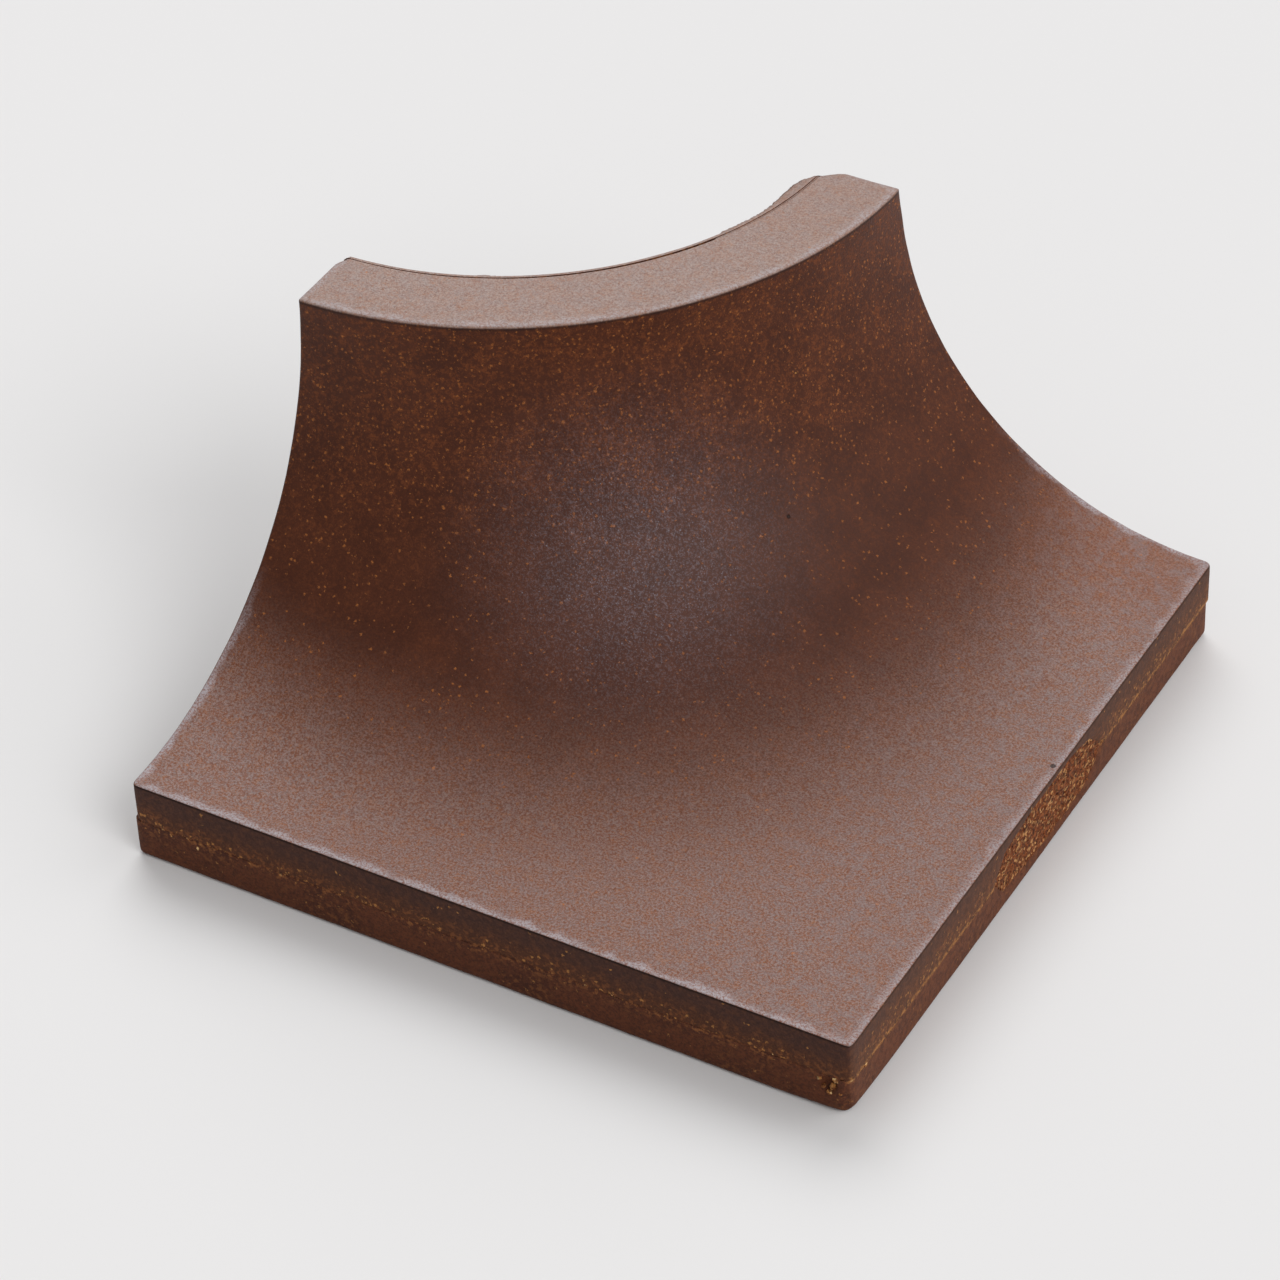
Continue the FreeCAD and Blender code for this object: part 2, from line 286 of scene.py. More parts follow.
@dataclass(frozen=True)
class FiredSkin(Clay):
    """Vitrified stoneware face: iron-red clay burnt dark, with a dry salt bloom on what lay flat.

    Pressed against a polished die and fired in a reducing flame, it gives a dense eggshell face
    that is nearly black in the hollow and pinkish grey on the flat and the rim, where the salt bloom
    also paints the sheen of the light from above.
    """

    warm: str = "#824724"
    open_ground: str = "#84503A"
    salt_and_sheen: str = "#A39996"
    glint: str = "#9A9AA6"
    sheen_haze: str = "#6E5A58"
    rust: str = "#A2683F"
    slate: str = "#8E888B"
    rim_salt_and_sheen: str = "#B29C92"
    edge_highlight: str = "#B9B4BA"
    ochre: str = "#B87038"
    shade: str = "#2E1811"
    near_black: str = "#150C0B"
    saddle: tuple[float, float, float] = (-0.010, 0.0005, 0.0475)
    axis: tuple[float, float, float] = (-0.08975, 0.09, 0.0)
    marks: tuple[tuple[float, float, float, float], ...] = (
        (12.0, 29.3, 48.8, 0.7), (88.6, 8.6, 20.9, 1.0), (-76.0, -71.0, 21.6, 0.5),
    )

    def make(self) -> bpy.types.Material:
        """Returns the finished material."""
        board = Board(self.name, self.deep)
        across, _, height = board.split(board.place)
        facing = board.split(board.signal("ShaderNodeNewGeometry", output="Normal"))[2]
        steep = facing.ramp(0.85, 0.25)
        arm, reach, _ = board.split(board.signal("ShaderNodeVectorMath", {0: board.place, 1: self.axis},
                                                 operation="SUBTRACT"))
        square = arm * arm + reach * reach
        middle = arm * reach / square
        # The lighter flat zone, with its salt bloom and painted sheen, begins lower down the cove at its two
        # ends than on the corner's diagonal.
        out = square.reckon("SQRT", square)
        rim = height.ramp(100.2 * MM, 100.7 * MM)
        level = out.ramp(122 * MM - middle * (24 * MM), 158 * MM - middle * (100 * MM)).most(rim)
        # The salt and the die's grain are a tenth of a millimetre; drawn at 0.5 mm so that they show.
        grain, powder = board.noise(0.5, 2.0, 0.7), board.noise(0.55, 2.0, 0.95)
        mottle, patches = board.noise(1.4, 4.0, 0.9), board.noise(3.5, 5.0, 0.7)
        drift = board.noise(11, 4.0).ramp(0.38, 0.62)
        spread = drift.ramp(0, 1, 0.72, 1.0) * steep.ramp(0, 1, 0.35, 1.0)
        cool = patches.ramp(0.54, 0.4) * across.ramp(25 * MM, 80 * MM, 0.14, 0.28)
        # dust_and_sheen: salt bloom on the flat and the rim, laid pale enough to also paint the sheen of the
        # light from above.
        dust_and_sheen = powder.ramp(0.4, 0.6) * (level * 0.57) * reach.ramp(-45 * MM, -8 * MM, 1.0, 0.58)
        small = board.flecks(0.85, 0.85, spread.ramp(0.1, 1.0, 0.1, 0.62))
        large = board.flecks(2.2, 0.9, steep.ramp(0.0, 1.0, 0.08, 0.35))
        # The rim's pale grey dusting also paints the rim's sheen.
        board.lay((drift, self.ground), (level, self.open_ground),
                  (mottle.ramp(0.46, 0.64) * (spread * 0.66), self.warm), (dust_and_sheen, self.salt_and_sheen),
                  (rim * powder.ramp(0.4, 0.6, 0.4, 0.7), self.rim_salt_and_sheen),
                  (level * patches.ramp(0.48, 0.62, 0.0, 0.13), self.rust), (level * cool, self.slate),
                  (board.noise(2.0, 5.0, 0.75).ramp(0.54, 0.68) * (level * 0.36), self.rust),
                  (grain.ramp(0.3, 0.6, 0.3, 0.0), self.shade),
                  (small * level.ramp(0, 1, 0.85, 0.35), self.fleck), (large * 0.7, self.ochre))
        # Painted sheen in the hollow of the saddle: a bluish haze with fine glints stands in for the reflection
        # of the fill light there.
        near = board.away(self.saddle)
        saddle_sheen = near.ramp(2 * MM, 52 * MM, 0.42, 0.0) * mottle.ramp(0.35, 0.6, 0.7, 1.15)
        # fine: the painted glints of that sheen.
        fine = board.flecks(0.4, 0.42, near.ramp(4 * MM, 30 * MM, 0.4, 0.0))
        board.lay((saddle_sheen * 0.5, self.sheen_haze), (powder.ramp(0.5, 0.6) * saddle_sheen * 0.55, self.glint),
                  (fine * 0.5, self.glint))
        # A painted highlight whitens the upper edges, where the rounded arrises catch the light from above;
        # less on the rim and on the side towards +X.
        edge = (board.mark("arris") + board.noise(5, 4.0)).ramp(0.95, 1.4) * facing.ramp(0.7, 0.95)
        edge = edge * powder.ramp(0.38, 0.58, 0.2, 0.7) * rim.ramp(0.0, 1.0, 1.0, 0.6)
        edge = edge * across.ramp(80 * MM, 86 * MM, 1.0, 0.6)
        # A darker line is laid just under the rim's top edges.
        under_edge = height.ramp(99.5 * MM, 100.1 * MM) * height.ramp(100.7 * MM, 100.3 * MM)
        pits = board.flecks(6.0, 0.7, 0.15)
        for x, y, z, wide in self.marks:
            away = board.away((x * MM, y * MM, z * MM))
            pits = pits.most(away.ramp(wide / 2 * MM, (wide / 2 + 0.25) * MM, 1.0, 0.0))
        board.lay((edge, self.edge_highlight), (under_edge * 0.55, self.near_black), (pits * 0.8, self.near_black))
        gloss = mottle.ramp(0.35, 0.7, self.roughness - 0.05, self.roughness + 0.1) - rim * 0.12
        return board.finish(gloss, grain + small * 0.4 - pits * 1.5, 0.8, 0.16, 1.27)


@dataclass(frozen=True)
class BurntSide(Clay):
    """Edge of the pressed face: the same stoneware burnt to slate brown, paler towards the seam."""

    band: str = "#59331F"
    gold: str = "#B27A42"
    worn: str = "#7E5A48"
    # Near-black laid along the side's arrises and in pits.
    near_black: str = "#0D0706"

    def make(self) -> bpy.types.Material:
        """Returns the finished material."""
        board = Board(self.name, self.ground)
        rise, grain = board.mark("above_seam"), board.noise(0.6, 3.0, 0.7)
        across = board.split(board.place)[0]
        level = rise + board.noise(9, 4.0) * 5.0 - across.ramp(89.4 * MM, 89.8 * MM, 0.0, 1.6)
        patch = board.noise(1.3, 5.0, 0.65).ramp(0.5, 0.6) * level.ramp(9.0, 2.5, 0.14, 0.85)
        small = board.flecks(1.0, 1.1, level.ramp(6.5, 2.7, 0.07, 0.75))
        east = across.ramp(89.4 * MM, 89.8 * MM)
        # The paler tone laid over the side towards +X is painted light.
        board.lay((level.ramp(10.5, 3.5), self.band), (grain.ramp(0.4, 0.6, 0.4, 0.0), self.deep),
                  (patch, self.fleck), (small * 0.85, self.gold),
                  (board.mark("arris").ramp(0.8, 0.93, 0.0, 0.75), self.near_black), (east * 0.2, self.worn))
        board.streak(rise, east, (self.deep, self.fleck, self.gold))
        return board.finish(self.roughness, grain, 0.7, 0.16, 1.25)


@dataclass(frozen=True)
class FiredBody(Clay):
    """Coarse unfaced stoneware: red clay with ochre grog, drier and rougher than the face."""

    gold: str = "#B27A42"
    worn: str = "#7E5240"
    shade: str = "#2A1610"
    near_black: str = "#0F0806"

    def make(self) -> bpy.types.Material:
        """Returns the finished material."""
        board = Board(self.name, self.ground)
        rise, grain, clouds = board.mark("above_seam"), board.noise(0.6, 3.0, 0.7), board.noise(12, 3.0)
        close = abs(rise).ramp(0.0, 3.5, 1.0, 0.0) * clouds.ramp(0.36, 0.5, 0.45, 1.0)
        drift = (clouds.ramp(0.38, 0.6) * 0.45).most(close)
        small = board.flecks(1.1, 1.05, drift.ramp(0, 1, 0.12, 0.7))
        east = board.split(board.place)[0].ramp(88.9 * MM, 89.3 * MM)
        # The paler tone laid over the side towards +X is painted light.
        board.lay((clouds.ramp(0.35, 0.65), self.deep), (grain.ramp(0.38, 0.55, 0.5, 0.0), self.shade),
                  (board.noise(1.3, 5.0, 0.65).ramp(0.5, 0.6) * (drift * 0.85), self.fleck),
                  (small * 0.8, self.gold), (east * 0.3, self.worn))
        board.streak(rise, east, (self.shade, self.fleck, self.gold))
        pits = board.flecks(3.5, 1.0, 0.4)
        board.lay((pits * 0.8, self.near_black))
        return board.finish(self.roughness, grain + small * 0.6 - pits, 0.8, 0.2, 1.3)


@dataclass(frozen=True)
class Grit(Clay):
    """Broken clay and fireclay grog: each grain its own shade from rust to pale ochre, quite dry."""

    apart: float = 0.9
    shade: str = "#24120B"

    def make(self) -> bpy.types.Material:
        """Returns the finished material."""
        board = Board(self.name, self.ground)
        cells = board.signal("ShaderNodeTexVoronoi",
                             {"Vector": board.place, "Scale": per(self.apart)}, "Color")
        first, second = [board.signal("ShaderNodeSeparateColor", {0: cells}, number) for number in range(2)]
        grain = board.noise(0.9, 3.0, 0.7)
        board.lay((first.ramp(0.1, 0.9), self.deep), (second.ramp(0.7, 1.0), self.fleck),
                  (grain.ramp(0.4, 0.54, 0.7, 0.0), self.shade))
        return board.finish(self.roughness, grain, 0.8, 0.15, 1.33)


# ---------------------------------------------------------------- the tile's shape


class Half(Enum):
    """Which half of the pressing a mesh is, with the way its die sat to the side."""

    FACE = 0.25
    BED = -0.25


@dataclass(frozen=True)
class Sizes:
    """Leading sizes of the tile in millimetres."""

    side: float = 180.0
    thickness: float = 21.0
    height: float = 101.0
    wall_face: float = 99.5
    wall: float = 19.5
    cove: float = 80.0
    back: float = 96.0
    arris: float = 0.75
    foot: float = 1.4
    corner: float = 2.0
    parting: float = 10.5
    seam: float = 99.0
    seam_gap: float = 0.2

    @property
    def cove_end(self) -> float:
        """Distance from the axis at which the cove runs out into the flat."""
        return self.wall_face + self.cove

    @property
    def wall_back(self) -> float:
        """Distance from the axis to the back of the wall."""
        return self.wall_face - self.wall

    def cove_height(self, out: np.ndarray) -> np.ndarray:
        """Returns the height of the face at each distance from the axis beyond the wall."""
        run = np.clip(self.cove_end - out, 0, self.cove)
        return self.height - np.sqrt(self.cove ** 2 - run ** 2)

    def seam_height(self, out: np.ndarray) -> np.ndarray:
        """Returns the height of the parting surface at each distance from the axis."""
        run = np.clip(self.cove_end - out, 0, self.seam)
        return self.parting + self.seam - np.sqrt(self.seam ** 2 - run ** 2)


def rounded_max(first: np.ndarray, second: np.ndarray, radius: np.ndarray | float) -> np.ndarray:
    """Meets two faces in a rounded edge.

    Args:
        first: Distance outside the first face.
        second: Distance outside the second face.
        radius: Radius of the edge between them.

    Returns:
        Distance outside the body that lies within both.
    """
    over = np.maximum(first + radius, 0), np.maximum(second + radius, 0)
    inside = np.minimum(np.maximum(first, second), -radius)
    return np.where((over[0] > 0) | (over[1] > 0), np.hypot(*over) - radius, inside)


def wander(points: np.ndarray, across: float, seed: float = 0.0) -> np.ndarray:
    """Returns smooth noise from -1 to 1 with lumps this many millimetres across.

    Args:
        points: Places in millimetres, one a row.
        across: Size of a lump.
        seed: Moves the pattern.

    Returns:
        One value for each place.
    """
    shift = Vector((seed, seed * 1.7, seed * 2.3))
    return np.array([noise.noise(Vector(point) / across + shift) for point in points])


def link(piece: bpy.types.Object) -> bpy.types.Object:
    """Puts an object in the scene and returns it."""
    bpy.context.scene.collection.objects.link(piece)
    return piece


def stand(name: str, points: Sequence[Any], faces: Sequence[Any],
          finish: bpy.types.Material | None = None) -> bpy.types.Object:
    """Makes an object of points and faces.

    Args:
        name: The object's name.
        points: Corners in metres.
        faces: Faces as corner numbers.
        finish: The material, if it gets one now.

    Returns:
        The object.
    """
    mesh = bpy.data.meshes.new(name)
    mesh.from_pydata(points, [], faces)
    if finish:
        mesh.materials.append(finish)
    return link(bpy.data.objects.new(name, mesh))


def soften(mesh: bpy.types.Mesh, sharp: float) -> None:
    """Smooths a mesh's shading except over edges of more than this many degrees."""
    mesh.polygons.foreach_set("use_smooth", [True] * len(mesh.polygons))
    mesh.set_sharp_from_angle(angle=math.radians(sharp))


@dataclass
class PressedHalf:
    """One half of the pressing as a lattice between two turned surfaces, closed all round."""

    sizes: Sizes
    half: Half
    name: str
    node: str
    slot: str
    columns: int = 170
    cove_rows: int = 58
    flat_rows: int = 46
    break_radius: float = 150.0
    edge_steps: tuple[float, ...] = (0.0, 0.35, 0.7, 1.2, 2.0)
    depth_steps: tuple[float, ...] = (0.0, 0.019, 0.038, 0.064, 0.107, 0.18, 0.27, 0.37, 0.47,
                                      0.57, 0.67, 0.76, 0.84, 0.91, 0.96, 1.0)
    edging_end: int = -1
    worn_width: float = 2.5
    arris_mark_width: float = 5.0
    corner_run: float = 559.8  # millimetres of outline per quarter turn, as it is near the free corner
    corner_steps: tuple[float, ...] = (-3.2, -2.0, -1.2, -0.7, -0.35, 0, 0.35, 0.7, 1.2, 2.0, 3.2)

    def spread(self) -> np.ndarray:
        """Returns the columns' places from 0 to 1, closer at the corner, the scar, the nick and the chip."""
        scar, nick = np.linspace(0.18, 0.38, 45), np.linspace(0.095, 0.115, 11)
        corner = 0.5 + np.array(self.corner_steps) / self.corner_run
        chip = 0.5 + np.linspace(3.2, 8.4, 12) / self.corner_run
        special = np.concatenate([nick, scar, corner, chip])
        kept = [place for place in np.linspace(0, 1, self.columns) if np.abs(special - place).min() > 0.0012]
        return np.unique(np.concatenate([kept, special]))

    def outline(self, angle: np.ndarray) -> np.ndarray:
        """Returns the distance from the axis to the edge of the square at each angle."""
        return self.sizes.side / np.maximum(np.cos(angle), np.sin(angle))

    def angles(self, reach: Any) -> np.ndarray:
        """Returns the columns' angles in one row.

        Args:
            reach: Gives the row's distance from the axis at each angle.

        Returns:
            The angles from the first end of the quarter turn to the other.
        """
        steps = np.array(self.edge_steps)
        first = np.zeros(len(steps))
        for _ in range(5):
            first = np.arcsin(steps / reach(first))
        last = (math.pi / 2 - first)[::-1]
        between = first[-1] + self.spread()[1:-1] * (last[0] - first[-1])
        return np.concatenate([first, between, last])

    def rows(self) -> list[Any]:
        """Returns, for each row, the rule for its distance from the axis at each angle."""
        sizes = self.sizes
        turn = math.acos((sizes.cove_end - self.break_radius) / sizes.cove)
        near = np.array(self.edge_steps) / sizes.cove
        steps = np.concatenate([near, np.linspace(near[-1], turn, self.cove_rows)[1:]])
        rules = [lambda angle, out=sizes.cove_end - sizes.cove * math.cos(step): np.full_like(angle, out)
                 for step in steps]
        for share in np.linspace(0, 1, self.flat_rows)[1:]:
            rules.append(lambda angle, share=share: self.break_radius + share
                         * (self.outline(angle) - self.edge_steps[-1] - self.break_radius))
        for short in self.edge_steps[-2::-1]:
            rules.append(lambda angle, short=short: self.outline(angle) - short)
        return rules

    def surfaces(self) -> tuple[np.ndarray, np.ndarray]:
        """Returns the half's outer and parting surfaces as (row, column, (angle, out, height))."""
        raise NotImplementedError

    def field(self, places: np.ndarray) -> np.ndarray:
        """Returns how far each place (p, q, height) from the axis lies outside the half."""
        raise NotImplementedError

    def sides(self, places: np.ndarray) -> np.ndarray:
        """Returns how far each place lies outside the square, with its upright corners rounded."""
        sizes = self.sizes
        across = rounded_max(places[:, 0] - sizes.side, -places[:, 0], sizes.corner)
        along = rounded_max(places[:, 1] - sizes.side, -places[:, 1], sizes.corner)
        return rounded_max(across, along, sizes.corner)

    def axis(self) -> tuple[float, float]:
        """Returns where the half's axis stands."""
        return -self.sizes.side / 2 + self.half.value, self.sizes.side / 2

    def lattice(self) -> tuple[np.ndarray, list[list[int]], list[int]]:
        """Closes the two surfaces into one shell.

        Returns:
            Vertices as (angle, out, height), faces as vertex numbers, and 1 for each face that
            lies on a side or a joint, 0 for the others.
        """
        outer, inner = self.surfaces()
        depth = np.array(self.depth_steps)
        share = depth[None, None, :, None]
        block = outer[:, :, None, :] * (1 - share) + inner[:, :, None, :] * share
        shape = block.shape[:3]
        edge, ids = np.zeros(shape, bool), np.full(shape, -1)
        ends = [(direction, end, tuple(end if number == direction else slice(None) for number in range(3)))
                for direction in range(3) for end in (0, -1)]
        for _, _, place in ends:
            edge[place] = True
        ids[edge] = np.arange(edge.sum())
        faces, sides = [], []
        for direction, end, place in ends:
            sheet = ids[place]
            corners = [sheet[:-1, :-1], sheet[1:, :-1], sheet[1:, 1:], sheet[:-1, 1:]]
            if (end == 0) == (direction == 1):
                corners.reverse()
            faces += np.stack(corners, -1).reshape(-1, 4).tolist()
            on_side = ((direction == 1 and self.half is Half.FACE)
                       or (direction == 0 and end == self.edging_end))
            sides += [int(on_side)] * (len(faces) - len(sides))
        return block[edge], faces, sides

    def turn(self, finish: bpy.types.Material, edging: bpy.types.Material) -> bpy.types.Object:
        """Lays the shell out flat and turns it about the axis with a node tree.

        Args:
            finish: The material.
            edging: The material of the sides and joints.

        Returns:
            The turned half.
        """
        points, faces, sides = self.lattice()
        piece = stand(self.name, (points * (1, MM, MM)).tolist(), faces)
        across, along = self.axis()
        bake(piece, turning_tree(), {"Axis X": across * MM, "Axis Y": along * MM, "Finish": finish})
        piece.data.materials.append(edging)
        piece.data.polygons.foreach_set("material_index", sides)
        return piece

    def ease(self, piece: bpy.types.Object) -> None:
        """Moves the half's points onto its rounded, slightly uneven real surface."""
        mesh = piece.data
        places = np.empty(len(mesh.vertices) * 3)
        mesh.vertices.foreach_get("co", places)
        places = places.reshape(-1, 3) / MM
        across, along = self.axis()
        local = np.column_stack([places[:, 0] - across, along - places[:, 1], places[:, 2]])
        sharp = self.closeness(local, self.worn_width)
        uneven = 0.07 * (1 + wander(places, 11, 3.1)) + 0.1 * sharp * (1 + wander(places, 3.2, 8.4)) / 2
        moved = local.copy()
        live = self.field(local) > -0.4
        for _ in range(6):
            spot = moved[live]
            value = self.field(spot) + uneven[live]
            slope = np.column_stack([(self.field(spot + step) - self.field(spot - step)) / 0.02
                                     for step in np.eye(3) * 0.01])
            size = np.maximum((slope ** 2).sum(1), 0.3)
            moved[live] = spot - slope * (value / size)[:, None]
        back = np.column_stack([moved[:, 0] + across, along - moved[:, 1], moved[:, 2]]) * MM
        mesh.vertices.foreach_set("co", back.ravel())
        out = np.hypot(moved[:, 0], moved[:, 1])
        sizes, high = self.sizes, moved[:, 2] - self.sizes.parting
        deep = sizes.seam - np.hypot(sizes.cove_end - out, sizes.seam - high)
        rise = np.where(out < sizes.cove_end, deep, high)
        for label, values in (("arris", self.closeness(local, self.arris_mark_width)), ("above_seam", rise)):
            mark = mesh.attributes.new(label, "FLOAT", "POINT")
            mark.data.foreach_set("value", values)
        soften(mesh, 50)
        mesh.update()

    def closeness(self, local: np.ndarray, width: float) -> np.ndarray:
        """Returns 1 on a sharp edge of the half and 0 from this many millimetres away."""
        raise NotImplementedError

    def build(self, finish: bpy.types.Material, edging: bpy.types.Material) -> bpy.types.Object:
        """Builds and dresses the half.

        Args:
            finish: The material.
            edging: The material of the sides and joints.

        Returns:
            The finished piece.
        """
        piece = self.turn(finish, edging)
        self.ease(piece)
        return settle(piece, self.slot, self.node)


@dataclass
class FaceHalf(PressedHalf):
    """The dark fired face: rim, cove, flat and the sides down to the seam."""

    nick: tuple[float, float, float] = (180.5, 30.0, 21.9)
    nick_radius: float = 1.7

    def surfaces(self) -> tuple[np.ndarray, np.ndarray]:
        """Returns the fired face and the parting surface under it."""
        sizes = self.sizes
        outer, inner = [], []
        for rule in self.rows():
            angle = self.angles(rule)
            out = rule(angle)
            height = sizes.cove_height(out)
            outer.append(np.column_stack([angle, out, height]))
            inner.append(np.column_stack([angle, *seam_under(sizes, out)]))
        outer, inner = np.array(outer), np.array(inner)
        inner[:, :, 2] += sizes.seam_gap * (inner[:, :, 2] < sizes.height - 1)
        inner[:, :, 1] += sizes.seam_gap * (inner[:, :, 1] < sizes.wall_face)
        return outer, inner

    def field(self, places: np.ndarray) -> np.ndarray:
        """Returns how far each place lies outside the face half."""
        sizes = self.sizes
        out = np.hypot(places[:, 0], places[:, 1])
        top = rounded_max(places[:, 2] - sizes.height, cove_field(sizes, out, places[:, 2]), sizes.arris)
        below = sizes.height - places[:, 2]
        top = rounded_max(top, rim_corners(sizes, places), 0.5)
        worn = 1.5 * np.clip(1 - below / 8, 0, 1) * np.clip(1 - places[:, 1] / 12, 0, 1)
        whole = rounded_max(top, self.sides(places) + scar_depth(places), sizes.arris + worn)
        bite = self.nick_radius - np.linalg.norm(places - np.array(self.nick), axis=1)
        return np.maximum(whole, bite)

    def closeness(self, local: np.ndarray, width: float) -> np.ndarray:
        """Returns 1 on an arris and 0 from this many millimetres away."""
        out = np.hypot(local[:, 0], local[:, 1])
        rim = local[:, 2] - self.sizes.height
        cove = cove_field(self.sizes, out, local[:, 2])
        ordered = np.sort(np.column_stack([rim, cove, self.sides(local)]), axis=1)
        return np.clip(1 + ordered[:, 1] / width, 0, 1)


@dataclass
class BedHalf(PressedHalf):
    """The raw bed: the band below the seam, the underside and the seat against the wall."""

    depth_steps: tuple[float, ...] = (0.0, 0.05, 0.1, 0.18, 0.28, 0.4, 0.52, 0.64, 0.76, 0.88, 1.0)
    edging_end: int = 0
    chip: tuple[float, float, float] = (174.95, 180.9, 7.9)
    chip_radius: float = 2.5
    worn_foot: float = 1.2
    worn_reach: float = 16.0
    facet: tuple[float, float] = (0.9, 1.3)

    def surfaces(self) -> tuple[np.ndarray, np.ndarray]:
        """Returns the underside with the wall seat, and the parting surface over it."""
        sizes = self.sizes
        outer, inner = [], []
        for rule in self.rows():
            angle = self.angles(rule)
            out = rule(angle)
            outer.append(np.column_stack([angle, *bed_under(sizes, out)]))
            inner.append(np.column_stack([angle, *seam_under(sizes, out)]))
        outer, inner = np.array(outer), np.array(inner)
        inner[:, :, 2] -= sizes.seam_gap * (inner[:, :, 2] < sizes.height - 1)
        return outer, inner

    def field(self, places: np.ndarray) -> np.ndarray:
        """Returns how far each place lies outside the bed half."""
        sizes = self.sizes
        out = np.hypot(places[:, 0], places[:, 1])
        base = rounded_max(bed_field(sizes, out, places[:, 2]), places[:, 2] - sizes.height, 0.3)
        base = rounded_max(base, rim_corners(sizes, places), 0.4)
        corner = np.hypot(sizes.side - places[:, 0], sizes.side - places[:, 1])
        worn = self.worn_foot * np.clip(1 - corner / self.worn_reach, 0, 1)
        whole = rounded_max(base, self.sides(places) + scar_depth(places), sizes.foot + worn)
        # The free corner's upright edge is broken off at a slant, deeper towards the floor.
        fall = np.clip(1 - places[:, 2] / sizes.parting, 0, 1)
        broken = (places[:, 0] + places[:, 1] - 2 * sizes.side) / math.sqrt(2)
        whole = rounded_max(whole, broken + self.facet[0] + self.facet[1] * fall, 0.5)
        bite = self.chip_radius - np.linalg.norm(places - np.array(self.chip), axis=1)
        return np.maximum(whole, bite)

    def closeness(self, local: np.ndarray, width: float) -> np.ndarray:
        """Returns 1 on a foot edge and 0 from this many millimetres away."""
        out = np.hypot(local[:, 0], local[:, 1])
        base = bed_field(self.sizes, out, local[:, 2])
        ordered = np.sort(np.column_stack([base, self.sides(local)]), axis=1)
        return np.clip(1 + ordered[:, 0] / width, 0, 1)


def cove_field(sizes: Sizes, out: np.ndarray, height: np.ndarray) -> np.ndarray:
    """Returns how far a place stands out of the cove and the flat."""
    arc = sizes.cove - np.hypot(sizes.cove_end - out, sizes.height - height)
    return np.where(out > sizes.cove_end, height - sizes.thickness,
                    np.where(height > sizes.height, out - sizes.wall_face, arc))


def rim_corners(sizes: Sizes, places: np.ndarray) -> np.ndarray:
    """Returns how far each place lies in the chips at the two back corners of the rim."""
    below = sizes.height - places[:, 2]
    left = 40.99 - 0.873 * places[:, 0] - 0.488 * places[:, 1] - 0.3 * below
    right = 55.75 - 0.646 * places[:, 0] - 0.763 * places[:, 1] - 0.3 * below
    return np.where(places[:, 1] < 40, right, left)


def bed_field(sizes: Sizes, out: np.ndarray, height: np.ndarray) -> np.ndarray:
    """Returns how far a place stands out of the underside and the wall seat."""
    foot = sizes.wall_back + sizes.back
    arc = np.hypot(foot - out, sizes.back - height) - sizes.back
    return np.where(out > foot, -height, np.where(height > sizes.back, sizes.wall_back - out, arc))


def seam_under(sizes: Sizes, out: np.ndarray) -> tuple[np.ndarray, np.ndarray]:
    """Follows lines from the cove's centre through the face to the parting surface.

    Args:
        sizes: The tile's sizes.
        out: Distances from the axis on the face.

    Returns:
        Distances from the axis and heights on the parting surface.
    """
    across = np.maximum(sizes.cove_end - out, 0) / sizes.cove
    down = np.sqrt(1 - across ** 2)
    rise = sizes.parting + sizes.seam - sizes.height
    reach = -rise * down + np.sqrt((rise * down) ** 2 - rise ** 2 + sizes.seam ** 2)
    seam_out = np.where(across > 0, sizes.cove_end - reach * across, out)
    return seam_out, np.where(across > 0, sizes.height - reach * down, sizes.parting)


def bed_under(sizes: Sizes, out: np.ndarray) -> tuple[np.ndarray, np.ndarray]:
    """Follows the same lines to the underside and the wall seat.

    Args:
        sizes: The tile's sizes.
        out: Distances from the axis on the face.

    Returns:
        Distances from the axis and heights on the underside.
    """
    across = np.maximum(sizes.cove_end - out, 0) / sizes.cove
    down = np.sqrt(1 - across ** 2)
    low, high = np.full_like(out, sizes.cove), np.full_like(out, 140.0)
    for _ in range(40):
        middle = (low + high) / 2
        place = sizes.cove_end - middle * across, sizes.height - middle * down
        outside = bed_field(sizes, *place) > 0
        low, high = np.where(outside, low, middle), np.where(outside, middle, high)
    under = np.where(across > 0, sizes.cove_end - low * across, out)
    return under, np.where(across > 0, sizes.height - low * down, 0.0)


SCAR_DEEP = 0.95
SCAR_OUTLINE = ((32.6, 10.9), (26.0, 17.0), (17.0, 19.2), (-4.0, 19.0), (-17.3, 17.2), (-23.7, 11.2),
                (-17.0, 4.0), (5.0, 2.2), (22.7, 2.4), (30.6, 6.4))


def scar_inside(along: np.ndarray, height: np.ndarray) -> np.ndarray:
    """Returns how far each place on the +X side lies inside the torn patch's outline.

    Args:
        along: Y of each place in millimetres.
        height: Height of each place.

    Returns:
        Distance inside the outline, below zero outside it.
    """
    corners = np.array(SCAR_OUTLINE)
    middle = corners.mean(0)
    gap = np.full(along.shape, 1e9)
    for start, end in zip(corners, np.roll(corners, -1, 0)):
        run = end - start
        normal = np.array([run[1], -run[0]]) / np.hypot(*run)
        if normal @ (middle - start) < 0:
            normal = -normal
        gap = np.minimum(gap, (along - start[0]) * normal[0] + (height - start[1]) * normal[1])
    return gap


def scar_depth(places: np.ndarray) -> np.ndarray:
    """Returns how deep the side is torn at each place from the axis, in millimetres."""
    inside = scar_inside(90 - places[:, 1], places[:, 2])
    return np.clip(inside / 1.6 + 0.2, 0, 1) * SCAR_DEEP * (places[:, 0] > 170)


# ---------------------------------------------------------------- node trees and baking


